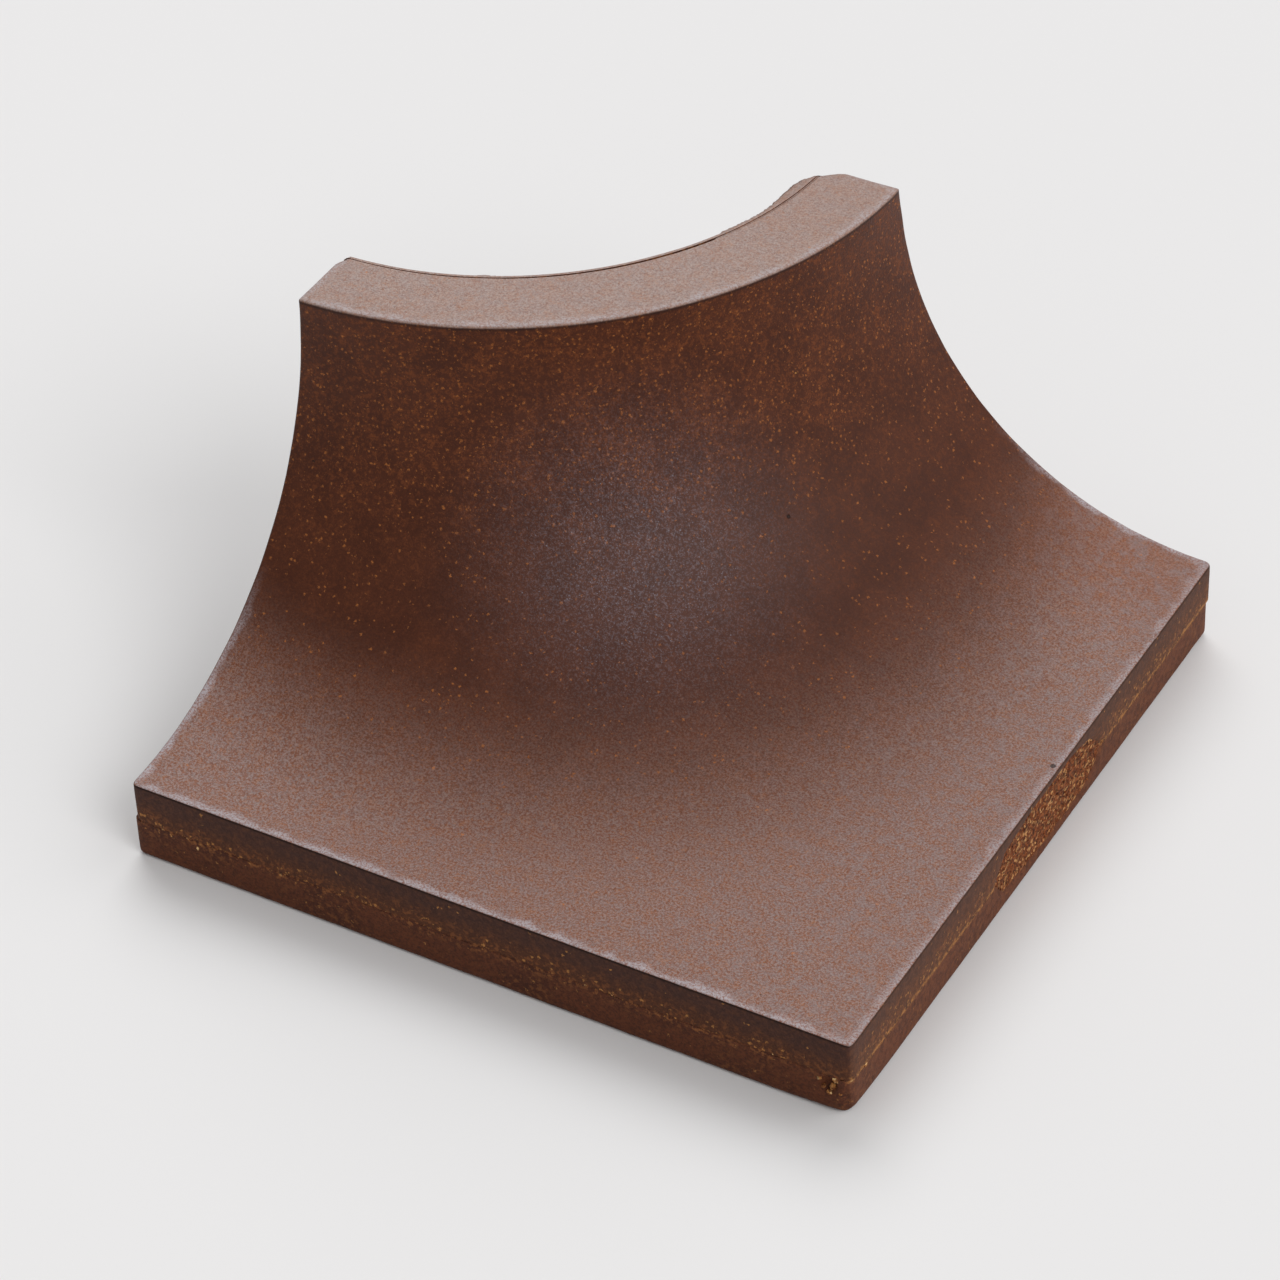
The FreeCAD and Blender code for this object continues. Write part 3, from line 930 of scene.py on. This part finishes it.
def new_tree(name: str, sockets: Iterable[tuple[str, str]]) -> tuple[bpy.types.NodeTree, bpy.types.Node]:
    """Starts a geometry node tree.

    Args:
        name: The tree's name.
        sockets: Name and kind of each input after the geometry.

    Returns:
        The tree and its input node.
    """
    tree = bpy.data.node_groups.new(name, "GeometryNodeTree")
    tree.interface.new_socket("Geometry", in_out="INPUT", socket_type="NodeSocketGeometry")
    for label, kind in sockets:
        tree.interface.new_socket(label, in_out="INPUT", socket_type="NodeSocket" + kind)
    tree.interface.new_socket("Geometry", in_out="OUTPUT", socket_type="NodeSocketGeometry")
    return tree, tree.nodes.new("NodeGroupInput")


def close_tree(tree: bpy.types.NodeTree, result: Any, finish: Any) -> bpy.types.NodeTree:
    """Ends a tree with real geometry in one material.

    Args:
        tree: The tree.
        result: The geometry so far.
        finish: The material socket.

    Returns:
        The tree.
    """
    real = add(tree, "GeometryNodeRealizeInstances", {0: result})
    dressed = add(tree, "GeometryNodeSetMaterial", {0: real, "Material": finish})
    add(tree, "NodeGroupOutput", {0: dressed})
    return tree


def turning_tree() -> bpy.types.NodeTree:
    """Builds the tree that turns a flat layout (angle, out, height) about an upright axis."""
    tree, given = new_tree("turned_about_axis",
                           [("Axis X", "Float"), ("Axis Y", "Float"), ("Finish", "Material")])
    place = add(tree, "ShaderNodeSeparateXYZ", {0: add(tree, "GeometryNodeInputPosition")})
    turn, out = Signal(tree, place.outputs[0]), Signal(tree, place.outputs[1])
    along = turn.reckon("SINE", turn) * out
    where = add(tree, "ShaderNodeCombineXYZ",
                {0: turn.reckon("COSINE", turn) * out + given.outputs["Axis X"],
                 1: given.outputs["Axis Y"] - along, 2: place.outputs[2]})
    turned = add(tree, "GeometryNodeSetPosition", {0: given.outputs["Geometry"], "Position": where})
    return close_tree(tree, turned, given.outputs["Finish"])


def bake(piece: bpy.types.Object, tree: bpy.types.NodeTree, values: Mapping[str, Any]) -> None:
    """Runs a tree on an object and keeps what it makes as the object's own mesh.

    Args:
        piece: The object.
        tree: The tree.
        values: The tree's inputs by name.
    """
    modifier = piece.modifiers.new(tree.name, "NODES")
    modifier.node_group = tree
    for item in tree.interface.items_tree:
        if item.in_out == "INPUT" and item.name in values:
            modifier[item.identifier] = values[item.name]
    bpy.context.view_layer.update()
    shown = piece.evaluated_get(bpy.context.evaluated_depsgraph_get())
    made = bpy.data.meshes.new_from_object(shown)
    piece.modifiers.remove(modifier)
    piece.data = made


def settle(piece: bpy.types.Object, slot: str, *nodes: str) -> bpy.types.Object:
    """Seats a finished piece on the tile.

    Args:
        piece: The piece.
        slot: The record's material slot; not used.
        *nodes: CAD nodes that it stands for.

    Returns:
        The same piece.
    """
    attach(piece, BODY)
    if nodes:
        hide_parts(*nodes)
    return piece


def grain_tree(on_faces: bool) -> bpy.types.NodeTree:
    """Builds the tree that scatters angular grains along a line or over faces.

    Args:
        on_faces: Whether the grains lie on faces; otherwise they follow the edges as a line.

    Returns:
        The tree.
    """
    tree, given = new_tree("grains_on_faces" if on_faces else "grains_on_line",
                           [("Apart", "Float"), ("Least", "Float"), ("Most", "Float"), ("Scatter", "Float"),
                            ("Flat", "Float"), ("Seed", "Int"), ("Finish", "Material")])
    seed = Signal(tree, given.outputs["Seed"])
    if on_faces:
        share = add(tree, "GeometryNodeInputNamedAttribute", {"Name": "share"}, data_type="FLOAT")
        sown = add(tree, "GeometryNodeDistributePointsOnFaces",
                   {"Mesh": given.outputs["Geometry"], "Distance Min": given.outputs["Apart"],
                    "Density Max": 4.0 / MM ** 2, "Density Factor": share, "Seed": seed},
                   distribute_method="POISSON")
        points, lean = sown.outputs["Points"], sown.outputs["Rotation"]
    else:
        line = add(tree, "GeometryNodeMeshToCurve", {0: given.outputs["Geometry"]})
        points = add(tree, "GeometryNodeResampleCurve", {"Curve": line, "Length": given.outputs["Apart"]},
                     mode="LENGTH")
        lean = None
    aside = add(tree, "FunctionNodeRandomValue", {0: (-1.0, -1.0, -1.0), 1: (1.0, 1.0, 1.0), "Seed": seed},
                data_type="FLOAT_VECTOR")
    shift = add(tree, "ShaderNodeVectorMath", {0: aside.outputs[0], "Scale": given.outputs["Scatter"]},
                operation="SCALE")
    moved = add(tree, "GeometryNodeSetPosition", {0: points, "Offset": shift.outputs[0]})
    draw = add(tree, "FunctionNodeRandomValue", {"Seed": seed + 7.0}, data_type="FLOAT")
    rare = seed.reckon("POWER", draw.outputs[1], 2.6)
    size = add(tree, "ShaderNodeMapRange", {"Value": rare, "To Min": given.outputs["Least"],
                                            "To Max": given.outputs["Most"]})
    turns = add(tree, "FunctionNodeRandomValue",
                {0: (0.0, 0.0, 0.0), 1: (FULL_TURN, FULL_TURN, FULL_TURN), "Seed": seed + 13.0},
                data_type="FLOAT_VECTOR")
    crumb = add(tree, "GeometryNodeMeshIcoSphere", {"Radius": 0.5, "Subdivisions": 1})
    stretch = add(tree, "ShaderNodeCombineXYZ", {0: 1.25, 1: 0.85, 2: given.outputs["Flat"]})
    shaped = add(tree, "GeometryNodeTransform", {"Geometry": crumb, "Scale": stretch})
    thick = add(tree, "ShaderNodeTexNoise", {"Scale": per(9), "Detail": 2.0})
    kept = True if on_faces else seed.reckon("GREATER_THAN", thick, 0.5)
    strewn = add(tree, "GeometryNodeInstanceOnPoints",
                 {"Points": moved, "Selection": kept, "Instance": shaped,
                  "Rotation": lean or turns.outputs[0], "Scale": size})
    return close_tree(tree, strewn, given.outputs["Finish"])


def strew(name: str, base: bpy.types.Mesh, on_faces: bool, values: Mapping[str, Any]) -> bpy.types.Object:
    """Makes one piece of grains.

    Args:
        name: The piece's name.
        base: The faces or the line that carry the grains.
        on_faces: Whether base is faces.
        values: The tree's inputs, lengths in millimetres.

    Returns:
        The piece as a plain mesh.
    """
    piece = link(bpy.data.objects.new(name, base))
    lengths = {key: value * MM if key in ("Apart", "Least", "Most", "Scatter") else value
               for key, value in values.items()}
    bake(piece, grain_tree(on_faces), lengths)
    hold(piece)
    return piece


def line_mesh(name: str, points: Sequence[Sequence[float]]) -> bpy.types.Mesh:
    """Returns a mesh of edges through points given in millimetres, broken at wide gaps."""
    mesh = bpy.data.meshes.new(name)
    edges = [(number, number + 1) for number in range(len(points) - 1)
             if math.dist(points[number], points[number + 1]) < WIDE_GAP]
    mesh.from_pydata([[part * MM for part in point] for point in points], edges, [])
    return mesh


@dataclass
class SeamCrumbs:
    """What is left of the clay squeezed out between the dies: a ragged root with loose crumbs."""

    sizes: Sizes
    inset: float = 0.42
    bead: float = 0.4
    clumps: tuple[tuple[float, float, float, float], ...] = (
        (89.9, 78.0, 13.0, 1.6), (89.9, 63.0, 14.2, 2.4), (89.8, 49.0, 12.0, 1.4), (89.8, 42.0, 11.4, 1.2),
        (89.8, -31.0, 11.7, 1.5), (89.8, -43.5, 11.2, 1.3), (89.8, -72.0, 11.0, 1.2),
        (89.8, -83.0, 10.2, 1.2), (89.7, -87.0, 12.2, 1.8), (-82.0, -89.6, 10.4, 1.1), (-80.0, -89.6, 9.6, 0.9),
        (-73.0, -89.6, 8.6, 1.0), (-62.0, -89.6, 10.2, 0.9), (-51.0, -89.6, 9.9, 1.1),
        (86.3, -89.4, 9.7, 1.7), (84.9, -89.5, 5.5, 1.5), (82.5, -89.6, 8.8, 1.2), (85.6, -88.8, 7.2, 1.7),
        (87.4, -89.2, 6.2, 1.2), (83.4, -89.5, 6.6, 1.0),
        (89.5, -84.5, 12.6, 1.4), (89.6, -81.0, 13.4, 1.1), (89.4, -88.2, 10.6, 1.4),
        (-89.3, 1.6, 100.1, 1.1), (-89.0, 3.9, 99.9, 1.3), (-88.3, 6.4, 100.0, 1.0), (-87.6, 8.8, 100.0, 0.9),
    )

    def path(self) -> list[tuple[float, float, float]]:
        """Returns the line of the seam round the tile, without the back, the rim and the torn patch."""
        sizes, half, inset = self.sizes, self.sizes.side / 2, self.inset
        flat = sizes.parting
        points = [(x, -half + inset, flat) for x in np.arange(-88.0, 88.6, 1.5)]
        points += [(half - inset - 0.1, y, flat) for y in np.arange(-88.0, 88.6, 1.5) if not -23 < y < 32]
        outs = np.concatenate([np.arange(178.0, 100.0, -1.5), np.arange(100.0, 84.0, -0.6),
                               np.arange(84.0, 81.2, -0.2)])
        rises = sizes.seam_height(outs)
        points += [(out - half, half - inset, rise) for out, rise in zip(outs, rises)]
        points += [(-half + inset, half - out, rise) for out, rise in zip(outs[::-1], rises[::-1])]
        return points

    def build(self, finish: bpy.types.Material, root: bpy.types.Material) -> list[bpy.types.Object]:
        """Builds and dresses the seam.

        Args:
            finish: The material of the broken clay.
            root: The material of the bead.

        Returns:
            The root bead, the crumbs and the clumps.
        """
        path = self.path()
        tree, given = new_tree("seam_bead",
                               [("Radius", "Float"), ("Ragged", "Float"), ("Finish", "Material")])
        line = add(tree, "GeometryNodeMeshToCurve", {0: given.outputs["Geometry"]})
        fine = add(tree, "GeometryNodeResampleCurve", {"Curve": line, "Length": 0.8 * MM}, mode="LENGTH")
        ring = add(tree, "GeometryNodeCurvePrimitiveCircle",
                   {"Resolution": 7, "Radius": given.outputs["Radius"]})
        swept = add(tree, "GeometryNodeCurveToMesh",
                    {"Curve": fine, "Profile Curve": ring, "Fill Caps": True})
        rough = add(tree, "ShaderNodeTexNoise", {"Scale": per(1.4), "Detail": 2.0})
        centred = add(tree, "ShaderNodeVectorMath", {0: rough.outputs["Color"], 1: (0.5, 0.5, 0.5)},
                      operation="SUBTRACT")
        push = add(tree, "ShaderNodeVectorMath", {0: centred, "Scale": given.outputs["Ragged"]},
                   operation="SCALE")
        ragged = add(tree, "GeometryNodeSetPosition", {0: swept, "Offset": push})
        close_tree(tree, ragged, given.outputs["Finish"])
        bead = link(bpy.data.objects.new("seam_bead", line_mesh("seam_bead", path)))
        bake(bead, tree, {"Radius": self.bead * MM, "Ragged": 0.5 * MM, "Finish": root})
        hold(bead)
        settle(bead, "torn_clay", "parting_flash")
        crumbs = strew("seam_crumbs", line_mesh("seam_line", path), False,
                       {"Apart": 0.55, "Least": 0.12, "Most": 0.75, "Scatter": 0.28, "Flat": 0.8, "Seed": 5,
                        "Finish": finish})
        settle(crumbs, "torn_clay")
        return [bead, crumbs, settle(clumped("seam_clumps", self.clumps, 0, 0.0, finish), "torn_clay")]


def held_inside(spot: Vector) -> Vector:
    """Returns the place, in millimetres, moved inside the tile's outer faces."""
    return Vector([min(max(part, least), most) for part, least, most in zip(spot, *HELD)])


def hold(piece: bpy.types.Object) -> None:
    """Moves every point of a piece inside the tile's outer faces."""
    for vertex in piece.data.vertices:
        vertex.co = held_inside(vertex.co / MM) * MM


def lump(centre: Sequence[float], across: float, seed: int) -> tuple[list[Vector], list[list[int]]]:
    """Shapes one knobbly lump of clay, held inside the tile's sides.

    Args:
        centre: Its middle in millimetres.
        across: Its width.
        seed: Sets its shape.

    Returns:
        Points in metres and faces.
    """
    ball = bmesh.new()
    bmesh.ops.create_icosphere(ball, subdivisions=3, radius=across / 2)
    middle = Vector(centre)
    points = []
    for vertex in ball.verts:
        swell = 1 + 0.45 * noise.noise(vertex.co / across * 3 + Vector((seed * 3.1, 0, 0)))
        swell += 0.25 * noise.noise(vertex.co / across * 8 + Vector((0, seed * 2.7, 0)))
        spot = middle + Vector((vertex.co.x * 0.8, vertex.co.y * 1.3, vertex.co.z)) * swell
        points.append(held_inside(spot) * MM)
    faces = [[vertex.index for vertex in face.verts] for face in ball.faces]
    ball.free()
    return points, faces


def clumped(name: str, spots: Sequence[Sequence[float]], seed: int, sunk: float,
            finish: bpy.types.Material) -> bpy.types.Object:
    """Makes one piece of several lumps.

    Args:
        name: The piece's name.
        spots: Middle and width of each lump in millimetres.
        seed: Shape number of the first lump.
        sunk: Share of its width that each lump is sunk by.
        finish: The material.

    Returns:
        The piece.
    """
    points, faces = [], []
    for number, (x, y, z, across) in enumerate(spots, seed):
        made = lump((x, y, z - across * sunk), across, number)
        faces += [[corner + len(points) for corner in face] for face in made[1]]
        points += made[0]
    return stand(name, points, faces, finish)


def quads(ids: np.ndarray) -> list[list[int]]:
    """Returns the four-cornered faces of a sheet of vertex numbers."""
    corners = [ids[:-1, :-1], ids[:-1, 1:], ids[1:, 1:], ids[1:, :-1]]
    return np.stack(corners, -1).reshape(-1, 4).tolist()


@dataclass
class TornPatch:
    """The torn patch on the +X side: a ragged bed of broken clay, packed with grog."""

    columns: int = 190
    rows: int = 60
    foot: float = 2.5
    top: float = 18.8
    face_x: float = 89.2
    step: float = 0.35
    root_x: float = 88.4
    relief: float = 0.5

    def limits(self, height: float) -> tuple[float, float]:
        """Returns the patch's lowest and highest Y at a height, with a ragged edge."""
        along = np.arange(-26.0, 36.0, 0.1)
        inside = along[scar_inside(along, np.full(along.shape, height)) > 0]
        wobble = [1.0 * noise.noise(Vector((height / 2.1, side, 0))) for side in (3.0, 9.0)]
        return inside.min() - 0.3 + wobble[0], inside.max() + 0.3 + wobble[1]

    def build(self, finish: bpy.types.Material) -> list[bpy.types.Object]:
        """Builds and dresses the patch.

        Args:
            finish: The material.

        Returns:
            The bed of clay and the grit on it.
        """
        sheet = []
        for height in np.linspace(self.foot, self.top, self.rows):
            low, high = self.limits(height)
            sheet.append([(y, height) for y in np.linspace(low, high, self.columns)])
        sheet = np.array(sheet)
        flat = sheet.reshape(-1, 2)
        seeds = np.column_stack([np.zeros(len(flat)), flat])
        lift = 0.5 * wander(seeds, 1.6, 2.0) + 0.35 * wander(seeds, 0.8, 5.0) + 0.3 * wander(seeds, 6, 7.0)
        rim = np.clip(scar_inside(flat[:, 0], flat[:, 1]) / 1.5, 0, 1)
        front = self.face_x + self.step * np.clip((flat[:, 1] - 9) / 3, 0, 1) + self.relief * lift * rim
        front = np.clip(front, self.root_x + 0.2, 90.0)
        count = len(flat)
        points = np.concatenate([np.column_stack([front, flat]),
                                 np.column_stack([np.full(count, self.root_x), flat])])
        ids = np.arange(count).reshape(sheet.shape[:2])
        faces = quads(ids) + quads(ids[:, ::-1] + count)
        ring = np.concatenate([ids[0, :-1], ids[:-1, -1], ids[-1, :0:-1], ids[:0:-1, 0]])
        after = np.roll(ring, -1)
        faces += np.column_stack([after, ring, ring + count, after + count]).tolist()
        bed = stand("torn_bed", (points * MM).tolist(), faces, finish)
        soften(bed.data, 60)
        settle(bed, "torn_clay", "torn_patch")
        carrier = bpy.data.meshes.new("torn_carrier")
        carrier.from_pydata((points[:count] * MM).tolist(), [], quads(ids))
        share = carrier.attributes.new("share", "FLOAT", "POINT")
        share.data.foreach_set("value", (rim * 0.5).tolist())
        grit = strew("torn_grit", carrier, True,
                     {"Apart": 0.6, "Least": 0.2, "Most": 0.85, "Scatter": 0.08, "Flat": 0.7, "Seed": 3,
                      "Finish": finish})
        return [bed, settle(grit, "torn_clay")]


@dataclass
class RimLip:
    """A tongue of clay squeezed out behind the rim, with a torn outer edge."""

    name: str
    node: str
    slot: str
    edge: tuple[tuple[float, float], ...]
    top: float = 100.72
    bottom: float = 98.4
    root: float = 80.75
    inmost: float = 76.5
    steps: int = 90

    def build(self, finish: bpy.types.Material, sizes: Sizes) -> bpy.types.Object:
        """Builds and dresses the lip.

        Args:
            finish: The material.
            sizes: The tile's sizes.

        Returns:
            The piece.
        """
        marks = sorted(self.edge)
        turns = np.linspace(marks[0][0], marks[-1][0], self.steps)
        reach = np.interp(turns, [place[0] for place in marks], [place[1] for place in marks])
        section = [(0.0, 1.0), (0.35, 1.0), (0.7, 0.98), (0.9, 0.88), (1.0, 0.66), (0.97, 0.4), (0.8, 0.22),
                   (0.4, 0.08), (0.0, 0.0)]
        points = []
        for turn, out in zip(turns, reach):
            torn = 0.28 * noise.noise(Vector((turn * 2.4, 0, 1.5)))
            torn += 0.16 * noise.noise(Vector((turn * 7, 3, 0)))
            for across, up in section:
                crumb = 0.12 * noise.noise(Vector((turn * 5, across * 6, up * 6)))
                place = self.root + (out + torn - self.root) * across
                points.append((math.radians(turn), max(place + crumb * across, self.inmost),
                               self.bottom + (self.top - self.bottom) * up + crumb * across * 0.8))
        ids = np.arange(len(points)).reshape(self.steps, len(section))
        around = np.concatenate([ids, ids[:, :1]], axis=1)
        faces = quads(around) + [ids[0, ::-1].tolist(), ids[-1].tolist()]
        piece = stand(self.name, [(turn, out * MM, high * MM) for turn, out, high in points], faces)
        bake(piece, turning_tree(), {"Axis X": (-sizes.side / 2 + Half.FACE.value) * MM,
                                     "Axis Y": sizes.side / 2 * MM, "Finish": finish})
        face_out(piece)
        return settle(piece, self.slot, self.node)


def face_out(piece: bpy.types.Object) -> None:
    """Turns a closed mesh's faces outward and smooths their shading."""
    shape = bmesh.new()
    shape.from_mesh(piece.data)
    bmesh.ops.recalc_face_normals(shape, faces=shape.faces)
    for flat in shape.faces:
        flat.smooth = True
    shape.to_mesh(piece.data)
    shape.free()


@dataclass
class Grog:
    """Fireclay grains that show in the fired face, thickest on the steep wings."""

    apart: float = 1.2
    marked: tuple[tuple[float, float, float, float], ...] = (
        (-13.3, -45.0, 24.45, 1.5), (43.1, 8.7, 24.3, 1.5), (57.3, 26.1, 23.1, 1.0), (4.6, 47.6, 75.0, 1.2),
    )

    def build(self, face: bpy.types.Object, finish: bpy.types.Material) -> bpy.types.Object:
        """Scatters the grains over the face.

        Args:
            face: The fired face.
            finish: The material.

        Returns:
            The grains.
        """
        carrier = face.data.copy()
        count = len(carrier.vertices)
        places, normals = np.empty(count * 3), np.empty(count * 3)
        carrier.vertices.foreach_get("co", places)
        carrier.vertex_normals.foreach_get("vector", normals)
        places, lean = places.reshape(-1, 3) / MM, normals.reshape(-1, 3)[:, 2]
        steep = np.clip((0.95 - lean) / 0.6, 0, 1)
        clouds = np.clip(0.45 + 1.4 * wander(places, 9, 4.4), 0, 1)
        shown = (places[:, 2] > 21.4) & (places[:, 2] < 98.5) & (lean > -0.05)
        inside = (places[:, 0] > -88.5) & (places[:, 1] < 88.5)
        share = (0.02 + 0.22 * steep * clouds) * shown * inside
        under = carrier.attributes.new("share", "FLOAT", "POINT")
        under.data.foreach_set("value", share)
        return settle(strew("grog_grains", carrier, True,
                            {"Apart": self.apart, "Least": 0.2, "Most": 0.62, "Scatter": 0.0, "Flat": 0.35,
                             "Seed": 11, "Finish": finish}), "fired_skin")

    def marks(self, finish: bpy.types.Material) -> bpy.types.Object:
        """Returns the few large grains that stand out."""
        return settle(clumped("grog_large", self.marked, 40, 0.35, finish), "fired_skin")


# ---------------------------------------------------------------- studio


@dataclass(frozen=True)
class Studio:
    """Pale floor, soft light and the camera."""

    azimuth: float = 31.284
    elevation: float = 39.531
    roll: float = -2.651
    distance: float = 1063.86
    aim: tuple[float, float, float] = (-5.366, -8.821, 34.242)
    lens: float = 133.9
    floor_tone: str = "#E9E8E8"
    floor_reach: float = 4.0
    sky: float = 0.34
    # Name, strength, direction from the tile and apparent width in degrees of each soft light.
    suns: tuple[tuple[str, float, tuple[float, float, float], float], ...] = (
        ("key", 1.35, (-0.36, 0.58, 0.73), 44.0),
        ("fill", 1.0, (0.70, -0.30, 0.65), 30.0),
        ("side", 0.75, (0.70, 0.30, 0.65), 60.0),
    )

    def floor(self) -> None:
        """Lays the floor."""
        reach = self.floor_reach
        paper = bpy.data.materials.new("matt_paper")
        paper.use_nodes = True
        shader = paper.node_tree.nodes["Principled BSDF"]
        shader.inputs["Base Color"].default_value = linear(self.floor_tone)
        shader.inputs["Roughness"].default_value = 1.0
        shader.inputs["Specular IOR Level"].default_value = 0.0
        corners = [(-reach, -reach, 0), (reach, -reach, 0), (reach, reach, 0), (-reach, reach, 0)]
        stand("studio_floor", corners, [(0, 1, 2, 3)], paper)

    def light(self) -> None:
        """Lights the room."""
        world = bpy.data.worlds.new("studio")
        world.use_nodes = True
        back = world.node_tree.nodes["Background"]
        back.inputs["Color"].default_value = (1.0, 1.0, 1.0, 1.0)
        back.inputs["Strength"].default_value = self.sky
        bpy.context.scene.world = world
        for name, strength, toward, spread in self.suns:
            lamp = bpy.data.lights.new(name, "SUN")
            lamp.energy, lamp.angle = strength, math.radians(spread)
            hung = link(bpy.data.objects.new(name, lamp))
            hung.rotation_euler = Vector(toward).to_track_quat("Z", "Y").to_euler()
        bpy.context.scene.view_settings.view_transform = "Standard"

    def camera(self) -> None:
        """Stands the camera up."""
        turn, rise = math.radians(self.azimuth), math.radians(self.elevation)
        back = Vector((math.sin(turn) * math.cos(rise), -math.cos(turn) * math.cos(rise), math.sin(rise)))
        data = bpy.data.cameras.new("camera")
        data.sensor_width = 36.0
        data.lens = self.lens
        data.clip_start, data.clip_end = 0.05, 50.0
        made = bpy.data.objects.new("camera", data)
        made.rotation_mode = "QUATERNION"
        level = (-back).to_track_quat("-Z", "Y")
        made.rotation_quaternion = level @ Quaternion((0, 0, 1), math.radians(self.roll))
        made.location = (Vector(self.aim) + back * self.distance) * MM
        bpy.context.scene.camera = link(made)


def main() -> None:
    """Builds the tile, its finishes and the studio."""
    logging.basicConfig(level=logging.INFO)
    sizes = Sizes()
    studio = Studio()
    studio.camera()
    studio.floor()
    studio.light()
    skin = FiredSkin("vitrified_stoneware_face", "#522A19", "#4A2516", "#A0602F", 0.46).make()
    side = BurntSide("burnt_stoneware_side", "#492E26", "#301E18", "#7C4A2A", 0.7).make()
    raw = FiredBody("raw_stoneware_bed", "#60331E", "#502919", "#8E5830", 0.78).make()
    broken = Grit("torn_stoneware", "#66300F", "#8C4E28", "#C08C58", 0.85, 0.7).make()
    crumb = Grit("fireclay_crumb", "#8A5228", "#B27A42", "#E2BC84", 0.85, 0.8).make()
    ochre = Grit("fireclay_grog", "#844A24", "#A0602C", "#C08848", 0.7, 2.5).make()
    face = FaceHalf(sizes, Half.FACE, "fired_face", "face_skin", "fired_skin").build(skin, side)
    pieces = [face, BedHalf(sizes, Half.BED, "raw_bed", "clay_body", "fired_clay").build(raw, skin)]
    pieces += SeamCrumbs(sizes).build(crumb, raw)
    pieces += TornPatch().build(broken)
    pieces.append(RimLip("rim_tongue", "rim_lip", "flash_clay",
                         ((27.6, 80.6), (26.8, 79.3), (25.0, 78.6), (17.0, 78.8), (14.0, 78.3), (10.8, 77.5),
                          (7.7, 77.1), (5.3, 77.7), (4.0, 79.1), (3.4, 80.4))).build(skin, sizes))
    pieces.append(RimLip("rim_bump", "rim_lump", "flash_clay",
                         ((68.8, 80.6), (67.8, 79.4), (66.0, 78.8), (64.2, 79.2),
                          (63.0, 80.6))).build(skin, sizes))
    grog = Grog()
    pieces += [grog.build(face, ochre), grog.marks(ochre)]
    for piece in pieces:
        LOG.info("%s: %d faces", piece.name, len(piece.data.polygons))


if __name__ == "__main__":
    main()
